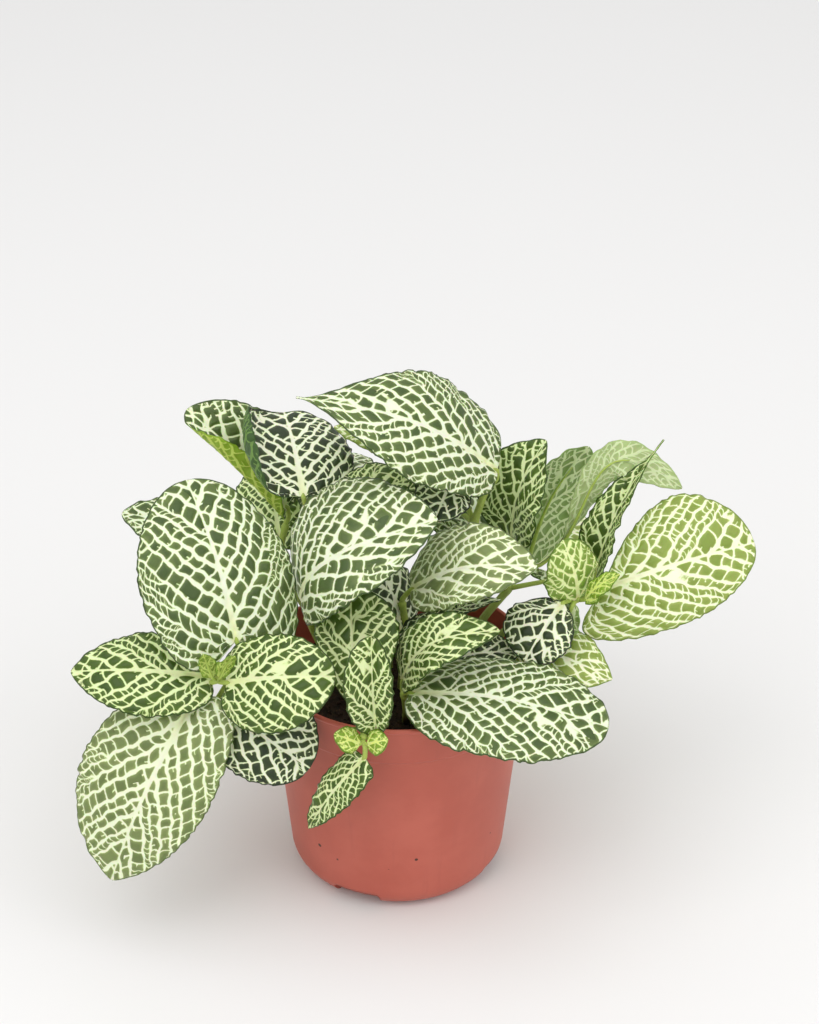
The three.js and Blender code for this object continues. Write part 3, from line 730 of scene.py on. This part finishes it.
class Net:
    """The vein net over a grid of points on one blade."""

    def __init__(self, blade, u, v, seed):
        count = blade.shape["veins"]
        u_inside = np.clip(u, *INSIDE)
        out = np.minimum(np.abs(v), SHORT_OF_RIM)
        row = even_row(vein_start(blade, u_inside, out), count)
        width = row_width(blade, u_inside, v, count)
        self.width = width / (1 + SWAY * SWAY_TURNS * np.cos(SWAY_TURNS * row + count))
        self.reach = reach_along(blade, u_inside, v * SHORT_OF_RIM)
        turn = VEINS_PER_ROW * row
        wander = 0
        for order, (length, slant, share) in enumerate(WANDER_WAVES, 1):
            wander = wander + share * np.sin(self.reach / length + slant * turn + order * seed)
        sway = SWAY * np.sin(SWAY_TURNS * row + count)
        self.row = row + sway + WANDER * wander / self.width + ROWS_APART * math.floor(3 * seed)
        size = float(np.clip((max(blade.shape["half"]) / USUAL_HALF_WIDTH) ** 0.4, *SIZE_LIMITS))
        lane = size * (LANE_INSIDE + (LANE_OUTSIDE - LANE_INSIDE) * out)
        self.depth = np.log2(width / lane)
        self.least = LEAST_SIZE * lane
        self.side = v
        self.along = u
        self.rib = blade.flat(u, v)[0] / size
        narrow = np.clip(blade.width(u, v)[1] / NARROW, *NARROW_LIMITS)
        self.rim = rim_distance(blade, u, v) / narrow

    def quilt(self):
        """How far the blade swells between its veins, in millimetres."""
        fields = [Field(getattr(self, key)) for key in CELL_VALUES]
        _, side_gap, rung_gap, _, breadth_here, _, _ = vein_cells(*fields)
        nearest = side_gap.least(rung_gap).values
        depth = np.minimum(QUILT * breadth_here.values, QUILT_MOST)
        swell = np.clip(nearest / (QUILT_SLOPE * breadth_here.values), 0, 1)
        fade = np.clip(self.rim / RIM_FADE, 0, 1)
        groove = RIB_GROOVE * np.exp(-((self.rib / RIB_REACH) ** 2))
        return depth * fade * np.sin(0.5 * math.pi * swell) - groove * fade


def blade_grid(blade):
    """Rows and columns of the blade's mesh, as closely spaced as the veins need."""
    rows = max(round(ARC_ALLOWANCE * blade.length / GRID_STEP), LEAST_ROWS)
    columns = 2 * max(round(max(blade.shape["half"]) / GRID_STEP), LEAST_COLUMNS)
    steps = np.linspace(0, 1, rows + 1)
    u = END_CROWDING * (0.5 - 0.5 * np.cos(math.pi * steps)) + (1 - END_CROWDING) * steps
    v = np.linspace(-1, 1, columns + 1)
    return np.meshgrid(u, v, indexing="ij")


def grid_normals(points):
    """The directions square to a grid of points."""
    along = np.gradient(points, axis=0)
    across = np.gradient(points, axis=1)
    return unit(np.cross(across, along))


def shell_faces(rows, columns):
    """The two faces of a thin shell on one grid, and the edge between them."""
    across = columns + 1
    under = (rows + 1) * across
    faces = []
    for i in range(rows):
        for j in range(columns):
            a = i * across + j
            quad = (a, a + 1, a + across + 1, a + across)
            faces.append(quad)
            faces.append(tuple(under + k for k in reversed(quad)))
    edge = list(range(columns))
    edge += [i * across + columns for i in range(rows)]
    edge += [rows * across + j for j in range(columns, 0, -1)]
    edge += [i * across for i in range(rows, 0, -1)]
    for a, b in zip(edge, edge[1:] + edge[:1]):
        faces.append((a, under + a, under + b, b))
    return faces


def make_leaf(plan, shape, seed):
    """One leaf as a thin quilted shell that carries its vein net for its material."""
    blade = Blade(shape, seed)
    u, v = blade_grid(blade)
    middle = blade.surface(u, v)
    normals = grid_normals(middle)
    net = Net(blade, u, v, seed)
    relief = net.quilt()
    half = 0.5 * (BLADE_EDGE + (BLADE - BLADE_EDGE) * np.clip(net.rim / RIM_TAPER, 0, 1))
    upper = middle + normals * (half + relief)[..., None]
    lower = middle + normals * (QUILT_BELOW * relief - half)[..., None]
    points = np.concatenate([upper.reshape(-1, 3), lower.reshape(-1, 3)])
    faces = shell_faces(u.shape[0] - 1, u.shape[1] - 1)
    name = f"leaf_{plan['name']}_{shape['name']}"
    mesh = make_mesh(name, (points, faces))
    for key in NET_VALUES:
        set_values(mesh, key, np.tile(getattr(net, key).ravel(), 2))
    set_values(mesh, "under", np.repeat([0.0, 1.0], u.size))
    make_piece(name, mesh, LEAF_MATERIALS[shape["look"]])


def leaf_material(name, look):
    """A netted leaf: dark cells, pale veins, a thin green rim, and a pale ribbed underside."""
    look = {part: linear(colour) for part, colour in zip(LOOK_PARTS, look)}
    shader = Shader(f"leaf_{name}", Subsurface_Weight=0.25, Subsurface_Radius=(0.35, 1.0, 0.15),
                    Subsurface_Scale=0.0012, Specular_IOR_Level=0.4)
    rib = shader.attribute("rib")
    rim = shader.attribute("rim")
    along = shader.attribute("along")
    under = shader.attribute("under").above(0.5)
    place = shader.place()
    main_gap, side_gap, rung_gap, spur_gap, lane_width, lane, cell = vein_cells(
        *(shader.attribute(key) for key in CELL_VALUES))
    wobble = shader.noise(place, 700, detail=2.0) - 0.5
    least = shader.attribute("least")
    size = lane_width.least(least * MOST_SIZE).most(least)
    gaps = [
        main_gap - size * MAIN_VEIN,
        side_gap - size * FORK_VEIN,
        rung_gap - size * RUNG_VEIN,
        spur_gap - size * SPUR_VEIN,
        (lane_width - least * CLOSED_LANE) * 0.5,
        rib - along.ramp(0.0, 1.0, *MIDRIB),
    ]
    nearest = gaps[0]
    for gap in gaps[1:]:
        nearest = nearest.blend_least(gap, size * ROUNDING)
    edge = nearest + wobble * VEIN_WOBBLE
    margin = (rim + wobble * 0.5).ramp(*GREEN_RIM)
    veins = edge.ramp(-VEIN_EDGE, VEIN_EDGE, 1.0, 0.0) * margin

    # The tissue beside a vein is a little lighter than the middle of a cell, and cells differ.
    middle = nearest.ramp(0.0, CELL_MIDDLE)
    speckle = shader.noise(place, 1500, detail=4.0)
    mottle = shader.noise(place, 160, detail=2.0)
    odd = (cell * CELL_TINT + lane * LANE_TINT).fract() * 0.75
    shade = (middle * 0.6 + speckle * 0.3 + odd - 0.3).least(1.0).most(0.0)
    cell_colour = shader.mix(shade, look["cell"], look["deep"])
    rim_colour = [0.8 * channel for channel in look["deep"]]
    cell_colour = shader.mix(margin, rim_colour, cell_colour)
    warm = rib.ramp(0.0, 3.0, 1.0, 0.0) * along.ramp(0.0, 0.35, 1.0, 0.0)
    warmth = (warm * 0.7 + mottle * 0.15).least(1.0)
    vein_colour = shader.mix(warmth, look["vein"], linear(WARM_VEIN))
    vein_colour = shader.mix(edge.ramp(-VEIN_FRINGE, 0.0, 0.0, 0.75), vein_colour, linear(FRINGE))
    upper = shader.mix(veins, cell_colour, vein_colour)

    below = shader.mix(mottle, look["under"], [0.75 * channel for channel in look["under"]])
    lower = shader.mix(veins * 0.9, below, look["under_vein"])
    shader.paint(shader.mix(under, upper, lower))
    shader.gloss(veins * 0.08 + speckle * 0.18 + 0.38)
    height = middle * 0.8 + speckle * 0.14 - veins * 0.25
    shader.bump(height * (1 - under * 1.6), LEAF_BUMP, strength=0.9)
    return shader.material


# Stems and stalks


def spline(points, steps):
    """A smooth path through the points, with so many steps between neighbours."""
    points = np.array(points, float)
    padded = np.vstack([2 * points[0] - points[1], points, 2 * points[-1] - points[-2]])
    path = []
    for i in range(len(points) - 1):
        before, start, end, after = padded[i:i + 4]
        for step in range(steps):
            t = step / steps
            path.append(
                start
                + 0.5 * t * (end - before)
                + t ** 2 * (before - 2.5 * start + 2 * end - 0.5 * after)
                + t ** 3 * (1.5 * (start - end) + 0.5 * (after - before))
            )
    path.append(points[-1])
    return np.array(path)


def tube(path, radii, sides, turn=0.0):
    """Points and faces of a closed tube along the path."""
    along = unit(np.gradient(path, axis=0))
    side = np.cross(along[0], UP if abs(along[0][2]) < 0.9 else np.array([1.0, 0.0, 0.0]))
    points = []
    for centre, direction, radius in zip(path, along, radii):
        side = unit(side - direction * (side @ direction))
        beside = np.cross(direction, side)
        for k in range(sides):
            angle = turn + 2 * math.pi * k / sides
            points.append(centre + radius * (math.cos(angle) * side + math.sin(angle) * beside))
    last = (len(path) - 1) * sides
    ends = [tuple(reversed(range(sides))), tuple(range(last, last + sides))]
    return points, ring_faces(len(path), sides) + ends


class Bundle:
    """Several closed forms gathered into one mesh."""

    def __init__(self):
        self.points = []
        self.faces = []
        self.ages = []

    def add(self, form, ages=0.0):
        points, faces = form
        start = len(self.points)
        self.points.extend(points)
        self.faces.extend(tuple(start + k for k in face) for face in faces)
        self.ages.extend(np.broadcast_to(ages, len(points)))

    def form(self):
        return self.points, self.faces


def stem_form(plan):
    """The stem from its root end in the soil to its tip, swollen where leaves leave it."""
    x, y = plan["foot"]
    upper = spline([(x, y, STEM_LEAVES_SOIL), *plan["path"]], STEM_STEPS)
    path = np.vstack([[(x, y, STEM_FOOT)], [(x, y, 0.5 * (STEM_FOOT + STEM_LEAVES_SOIL))], upper])
    share = np.linspace(0, 1, len(path))
    radii = STEM_ROOT_RADIUS + (STEM_TIP_RADIUS - STEM_ROOT_RADIUS) * share
    for node in {shape["node"] for shape in plan["leaves"]}:
        gaps = np.linalg.norm(path - np.array(plan["path"][node], float), axis=1)
        radii = radii * (1 + SWELLING * np.exp(-((gaps / SWELLING_REACH) ** 2)))
    radii[-1] *= STEM_END
    return tube(path, radii, STEM_SIDES), np.repeat(share, STEM_SIDES)


def stalk_form(blade, start):
    """The stalk from the stem into the blade, running on under it as its raised midrib."""
    early = blade.midrib(np.array([0.1]))[0] - blade.base
    middle = 0.5 * (start + blade.base) - 0.2 * early
    free = spline([start, middle, blade.base], STALK_STEPS)
    u = np.linspace(*RIB_SPAN, RIB_STEPS)
    radius = STALK_RADIUS * (SMALL_STALK if max(blade.shape["half"]) < SMALL_LEAF else 1.0)
    taper = radius * (RIB_START - RIB_TAPER * u)
    rib = blade.midrib(u) - blade.axes(u)[1] * (0.5 * BLADE + RIB_GROOVE + 0.5 * taper)[:, None]
    path = np.vstack([free, rib])
    radii = np.concatenate([np.linspace(*STALK_TAPER, len(free)) * radius, taper])
    return tube(path, radii, STALK_SIDES)


def make_stem(plan):
    """One shoot's stem, stalks and midribs as one piece, which stands for the whole shoot's solid."""
    bundle = Bundle()
    bundle.add(*stem_form(plan))
    for shape in plan["leaves"]:
        blade = Blade(shape)
        bundle.add(stalk_form(blade, np.array(plan["path"][shape["node"]], float)), 1.0)
    name = f"stem_{plan['name']}"
    mesh = make_mesh(name, bundle.form())
    set_values(mesh, "age", bundle.ages)
    piece = make_piece(name, mesh, STEM_MATERIAL)
    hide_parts(f"shoot_{plan['name']}")


def stem_material():
    """Soft yellow-green stems with a fine down."""
    shader = Shader("stem", Subsurface_Weight=0.2, Subsurface_Radius=(0.5, 1.0, 0.2),
                    Subsurface_Scale=0.001)
    place = shader.place()
    age = shader.attribute("age")
    mottle = shader.noise(place, 260, detail=4.0)
    down = shader.voronoi(place, 2600)
    green = shader.mix(age, linear((118, 128, 66)), linear((168, 188, 84)))
    green = shader.mix(mottle.ramp(0.45, 0.75) * 0.5, green, linear((126, 142, 60)))
    green = shader.mix(down.ramp(0.1, 0.3, 0.35, 0.0), green, linear((220, 230, 160)))
    shader.paint(green)
    shader.gloss(mottle * 0.25 + 0.45)
    shader.bump(down, 0.0002, strength=0.6)
    return shader.material


# Pot

POT_HEIGHT = 110
RIM_RADIUS = 60
COLLAR_DEPTH = 18
COLLAR_STEP = 1.2
SHOULDER_RADIUS = 57.4
FOOT_RADIUS = 50
CORNER_RADIUS = 12
WALL = 1.3
LIP_WIDTH = 2
DISC_RADIUS = 30
GROOVE_WIDTH = 6
GROOVE_DEPTH = 2.5
FOOT_GAP_START = 31.5
FOOT_GAP_WIDTH = 22
FOOT_GAP_HEIGHT = 8.5
FOOT_GAP_COUNT = 4
FOOT_GAP_ANGLE = 247
GAP_ROUNDING = 1.6
DRAIN_RADIUS = 2.5
DRAIN_COUNT = 8
DRAIN_SIDES = 24
POT_SIDES = 192


def arc(centre, radius, start, end, steps):
    """Points on an arc, by angle in degrees."""
    turns = np.radians(np.linspace(start, end, steps + 1))
    return [(centre[0] + radius * math.cos(turn), centre[1] + radius * math.sin(turn)) for turn in turns]


def pot_profile():
    """The outlines of the pot's outside and of its hollow, from the axis below to the axis above."""
    foot = POT_HEIGHT - COLLAR_DEPTH
    corner = (FOOT_RADIUS - CORNER_RADIUS, CORNER_RADIUS)
    raised = GROOVE_DEPTH + WALL
    disc, ring = DISC_RADIUS, DISC_RADIUS + GROOVE_WIDTH
    collar = SHOULDER_RADIUS + COLLAR_STEP
    lip = RIM_RADIUS - LIP_WIDTH
    outside = [
        (0, 0), (14, 0), (disc - 0.6, 0), (disc + 0.1, 0.3), (disc + 0.9, GROOVE_DEPTH - 0.2),
        (disc + 1.4, GROOVE_DEPTH), (ring - 1.4, GROOVE_DEPTH), (ring - 0.9, GROOVE_DEPTH - 0.2),
        (ring - 0.1, 0.3), (ring + 0.6, 0), *arc(corner, CORNER_RADIUS, -90, 0, 10),
        (SHOULDER_RADIUS - 0.05, foot - COLLAR_STEP - 0.6), (SHOULDER_RADIUS + 0.25, foot - COLLAR_STEP),
        (collar - 0.25, foot - 0.2), (collar, foot + 0.4),
        (RIM_RADIUS - 0.75, POT_HEIGHT - 2.4), (RIM_RADIUS - 0.45, POT_HEIGHT - 2.1),
        *arc((RIM_RADIUS - 0.9, POT_HEIGHT - 0.9), 0.9, -25, 90, 6), (0, POT_HEIGHT),
    ]
    inside = [
        (0, WALL), (disc - WALL, WALL), (disc - WALL + 1, raised), (ring + WALL - 1, raised),
        (ring + WALL, WALL), *arc(corner, CORNER_RADIUS - WALL, -90, 0, 6),
        (SHOULDER_RADIUS - WALL - 0.1, foot - COLLAR_STEP - 1),
        (SHOULDER_RADIUS - WALL + 0.2, foot - COLLAR_STEP), (collar - WALL, foot + 0.4),
        (lip, POT_HEIGHT - 2), (lip, POT_HEIGHT - 0.5), (lip + 0.15, POT_HEIGHT - 0.15),
        (lip + 0.5, POT_HEIGHT + 0.1), (lip + 0.5, POT_HEIGHT + 1), (0, POT_HEIGHT + 1),
    ]
    return outside, inside


def turned(outline, sides):
    """A closed form turned about the pot's axis, from an outline whose two ends lie on that axis."""
    points = [point for place in outline[1:-1] for point in ring_points(*place, sides)]
    faces = ring_faces(len(outline) - 2, sides)
    last = len(points) - sides
    low, high = len(points), len(points) + 1
    points += [(0, 0, outline[0][1]), (0, 0, outline[-1][1])]
    for k in range(sides):
        beside = (k + 1) % sides
        faces.append((low, beside, k))
        faces.append((high, last + k, last + beside))
    return points, faces


def foot_gap(turn, start, width, height):
    """A cutter for one gap in the foot, with its upper edges rounded."""
    half = 0.5 * width
    section = [
        (-half, -height), (half, -height),
        *arc((half - GAP_ROUNDING, height - GAP_ROUNDING), GAP_ROUNDING, 0, 90, 4),
        *arc((GAP_ROUNDING - half, height - GAP_ROUNDING), GAP_ROUNDING, 90, 180, 4),
    ]
    points = []
    for reach in (start, RIM_RADIUS):
        for beside, level in section:
            x = reach * math.cos(turn) - beside * math.sin(turn)
            y = reach * math.sin(turn) + beside * math.cos(turn)
            points.append((x, y, level))
    count = len(section)
    faces = [(k, (k + 1) % count, (k + 1) % count + count, k + count) for k in range(count)]
    faces += [tuple(reversed(range(count))), tuple(range(count, 2 * count))]
    return points, faces


def foot_gaps(start, width, height):
    """Cutters for all the gaps in the foot that let water run out from under the pot."""
    bundle = Bundle()
    for i in range(FOOT_GAP_COUNT):
        bundle.add(foot_gap(math.radians(FOOT_GAP_ANGLE + 360 / FOOT_GAP_COUNT * i), start, width, height))
    return bundle.form()


def drains():
    """Cutters for the round drain holes in the pot's groove."""
    ring = DISC_RADIUS + GROOVE_WIDTH / 2
    reach = 2 * FOOT_GAP_HEIGHT
    bundle = Bundle()
    for i in range(DRAIN_COUNT):
        turn = 2 * math.pi * (i + 0.5) / DRAIN_COUNT
        x, y = ring * math.cos(turn), ring * math.sin(turn)
        bundle.add(tube(np.array([(x, y, -reach), (x, y, reach)]), [DRAIN_RADIUS] * 2, DRAIN_SIDES))
    return bundle.form()


def less(mesh, cutter):
    """The mesh with the cutter's form cut away from it."""
    holders = [add_object("form", part) for part in (mesh, cutter)]
    modifier = holders[0].modifiers.new("cut", "BOOLEAN")
    modifier.operation = "DIFFERENCE"
    modifier.solver = "EXACT"
    modifier.object = holders[1]
    graph = bpy.context.evaluated_depsgraph_get()
    left = bpy.data.meshes.new_from_object(holders[0].evaluated_get(graph))
    for holder in holders:
        bpy.data.objects.remove(holder)
    return left


def make_pot():
    """The pot as a turned form less its hollow, with raised gaps in its foot and drain holes."""
    outside, inside = pot_profile()
    walls = foot_gaps(FOOT_GAP_START - WALL, FOOT_GAP_WIDTH + 2 * WALL, FOOT_GAP_HEIGHT + WALL)
    hollow = less(make_mesh("form", turned(inside, POT_SIDES)), make_mesh("form", walls))
    form = less(make_mesh("form", turned(outside, POT_SIDES)), hollow)
    for cutter in (foot_gaps(FOOT_GAP_START, FOOT_GAP_WIDTH, FOOT_GAP_HEIGHT), drains()):
        form = less(form, make_mesh("form", cutter))
    piece = make_piece("nursery_pot", form, pot_material())
    piece.modifiers.new("edges", "WEIGHTED_NORMAL").keep_sharp = True
    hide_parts("pot")


def pot_material():
    """Terracotta-coloured moulded plastic with a soft shine, faint flow marks and a little soil dust."""
    shader = Shader("pot_plastic", Subsurface_Weight=0.08, Subsurface_Radius=(1.0, 0.35, 0.2),
                    Subsurface_Scale=0.002, Specular_IOR_Level=0.45)
    place = shader.place()
    mottle = shader.noise(place, 30, detail=5.0)
    flow = shader.noise(shader.stretched(place, (220.0, 220.0, 9.0)), 1.0, detail=3.0)
    grain = shader.noise(place, 2200, detail=2.0)
    dots = shader.voronoi(place, 95)
    dot_size = shader.noise(place, 40, detail=0.0)
    dust = (dots - dot_size * 0.12).ramp(-0.02, 0.005, 1.0, 0.0) * dot_size.above(0.53)
    colour = shader.mix(mottle.ramp(0.35, 0.7), linear((180, 88, 71)), linear((190, 98, 81)))
    colour = shader.mix(flow.ramp(0.55, 0.8, 0.0, 0.35), colour, linear((168, 84, 70)))
    colour = shader.mix(dust, colour, linear((70, 40, 30)))
    shader.paint(colour)
    shader.gloss(mottle * 0.16 + grain * 0.08 + 0.36)
    shader.bump(grain * 0.4 + flow * 0.6, 0.00006, strength=0.5)
    return shader.material


# Soil

SOIL_HEIGHT = 88
SOIL_RIM = 55.2
SOIL_WAIST = 52.6
SOIL_BASE = 48.0
SOIL_FLOOR = 10.1
SOIL_LUMPS = 1.5
SOIL_GRAIN = 0.7
SOIL_RINGS = 56
SOIL_SIDES = 168
CRUMB_COUNT = 900
CRUMB_LEAST = 0.5
CRUMB_SPREAD = 1.3
CRUMB_MARGIN = 2.5


def soil_height(x, y):
    """The lumpy top of the soil, in millimetres."""
    spot = Vector((x, y, 0.0))
    lumps = noise.fractal(spot * 0.09, 1.0, 2.0, 5)
    crumbs = noise.fractal(spot * 0.55 + Vector((9.0, 4.0, 2.0)), 0.9, 2.0, 4)
    return SOIL_HEIGHT + SOIL_LUMPS * lumps + SOIL_GRAIN * crumbs


def soil_plug():
    """The soil from the pot's floor up the wall and over its lumpy top."""
    side = [(SOIL_BASE - 1.6, SOIL_FLOOR), (SOIL_BASE + 0.4, CORNER_RADIUS + 3), (SOIL_WAIST, 60.0)]
    top = [(SOIL_RIM * math.sqrt(i / SOIL_RINGS), SOIL_HEIGHT) for i in range(SOIL_RINGS, -1, -1)]
    points, faces = turned([(0, SOIL_FLOOR), *side, *top], SOIL_SIDES)
    points = [(x, y, soil_height(x, y) if z == SOIL_HEIGHT else z) for x, y, z in points]
    return points, faces


def crumb(x, y, size, draw):
    """One crumb of peat or bark: a squashed, dented ball half sunk in the soil."""
    rings, sides = 5, 7
    squash = [draw.uniform(0.6, 1.3), draw.uniform(0.6, 1.3), draw.uniform(0.4, 0.9)]
    turn = draw.uniform(0, math.pi)
    seed = Vector((draw.uniform(0, 50), draw.uniform(0, 50), draw.uniform(0, 50)))
    z = soil_height(x, y) + 0.2 * size
    points = []
    for i in range(rings + 1):
        tilt = math.pi * i / rings
        for k in range(sides if 0 < i < rings else 1):
            angle = turn + 2 * math.pi * k / sides
            way = Vector((math.sin(tilt) * math.cos(angle), math.sin(tilt) * math.sin(angle), math.cos(tilt)))
            dent = size * (0.8 + 0.6 * noise.noise(way * 1.4 + seed))
            points.append([at + dent * share * part for at, share, part in zip((x, y, z), way, squash)])
    faces = [(0, 1 + k, 1 + (k + 1) % sides) for k in range(sides)]
    for i in range(rings - 2):
        for k in range(sides):
            a, b = 1 + i * sides + k, 1 + i * sides + (k + 1) % sides
            faces.append((a, a + sides, b + sides, b))
    last = 1 + (rings - 2) * sides
    faces += [(last + sides, last + (k + 1) % sides, last + k) for k in range(sides)]
    return points, faces


def make_soil():
    """The soil with its crumbs, as one piece."""
    draw = random.Random(5)
    bundle = Bundle()
    bundle.add(soil_plug())
    for _ in range(CRUMB_COUNT):
        radius = (SOIL_RIM - CRUMB_MARGIN) * math.sqrt(draw.random())
        angle = draw.uniform(0, 2 * math.pi)
        size = CRUMB_LEAST + CRUMB_SPREAD * draw.random() ** 2.5
        bundle.add(crumb(radius * math.cos(angle), radius * math.sin(angle), size, draw))
    piece = make_piece("potting_soil", make_mesh("potting_soil", bundle.form()), soil_material())
    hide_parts("soil")


def soil_material():
    """Dark moist peat with browner fibres."""
    shader = Shader("soil", Specular_IOR_Level=0.25)
    place = shader.place()
    lumps = shader.noise(place, 320, detail=6.0, roughness=0.7)
    fibre = shader.noise(shader.stretched(place, (900.0, 260.0, 500.0)), 1.0, detail=4.0)
    colour = shader.mix(lumps.ramp(0.35, 0.7), linear((34, 25, 20)), linear((66, 48, 36)))
    colour = shader.mix(fibre.ramp(0.62, 0.75, 0.0, 0.7), colour, linear((104, 76, 52)))
    shader.paint(colour)
    shader.gloss(lumps * 0.2 + 0.75)
    shader.bump(lumps + fibre * 0.4, 0.0006, strength=0.8)
    return shader.material


# Floor, light and camera

TARGET = Vector((0.0, 0.0, 0.110))
CAMERA_DISTANCE = 1.1
CAMERA_ELEVATION = 34.5
FOCAL_PIXELS = 2442
IMAGE_HEIGHT = 1024
SENSOR_HEIGHT = 24
SHIFT_PIXELS = (12, 141)
FLOOR_HALF = 3.0
FLOOR_TONES = ((0.800, 0.795, 0.790), (0.808, 0.803, 0.798))
WORLD_LIGHT = 0.83


def make_floor():
    mesh = bpy.data.meshes.new("floor")
    corners = [(x * FLOOR_HALF, y * FLOOR_HALF, 0) for x, y in ((-1, -1), (1, -1), (1, 1), (-1, 1))]
    mesh.from_pydata(corners, [], [(0, 1, 2, 3)])
    shader = Shader("floor", Roughness=0.9, Specular_IOR_Level=0.1)
    grain = shader.noise(shader.place(), 4.0, detail=2.0)
    shader.paint(shader.mix(grain, *FLOOR_TONES))
    mesh.materials.append(shader.material)
    add_object("floor", mesh)


def add_light(name, place, size, power):
    """A soft square light that faces the plant."""
    lamp = bpy.data.lights.new(name, "AREA")
    lamp.shape = "SQUARE"
    lamp.size = size
    lamp.energy = power
    holder = add_object(name, lamp)
    holder.location = place
    holder.rotation_euler = (TARGET - Vector(place)).to_track_quat("-Z", "Y").to_euler()


def light_the_scene():
    world = bpy.data.worlds.new("studio")
    world.use_nodes = True
    backdrop = world.node_tree.nodes["Background"]
    backdrop.inputs["Color"].default_value = (1.0, 1.0, 1.0, 1.0)
    backdrop.inputs["Strength"].default_value = WORLD_LIGHT
    bpy.context.scene.world = world
    add_light("key", (-0.9, -1.1, 1.7), size=1.4, power=11)
    add_light("fill", (1.3, -0.8, 1.1), size=1.4, power=5)
    add_light("top", (0.1, -0.2, 1.9), size=1.6, power=8)
    bpy.context.scene.view_settings.view_transform = "Standard"


def make_camera():
    lens = bpy.data.cameras.new("camera")
    lens.sensor_fit = "VERTICAL"
    lens.sensor_height = SENSOR_HEIGHT
    lens.lens = SENSOR_HEIGHT * FOCAL_PIXELS / IMAGE_HEIGHT
    lens.shift_x = SHIFT_PIXELS[0] / IMAGE_HEIGHT
    lens.shift_y = SHIFT_PIXELS[1] / IMAGE_HEIGHT
    camera = add_object("camera", lens)
    tilt = math.radians(CAMERA_ELEVATION)
    camera.location = TARGET + CAMERA_DISTANCE * Vector((0.0, -math.cos(tilt), math.sin(tilt)))
    camera.rotation_euler = (TARGET - camera.location).to_track_quat("-Z", "Y").to_euler()
    bpy.context.scene.camera = camera


make_camera()
make_floor()
light_the_scene()
LEAF_MATERIALS = {name: leaf_material(name, look) for name, look in LOOKS.items()}
STEM_MATERIAL = stem_material()
make_pot()
make_soil()
for number, plan in enumerate(SHOOTS):
    make_stem(plan)
    for order, shape in enumerate(plan["leaves"]):
        make_leaf(plan, shape, seed=1 + number + SEED_STEP * order)
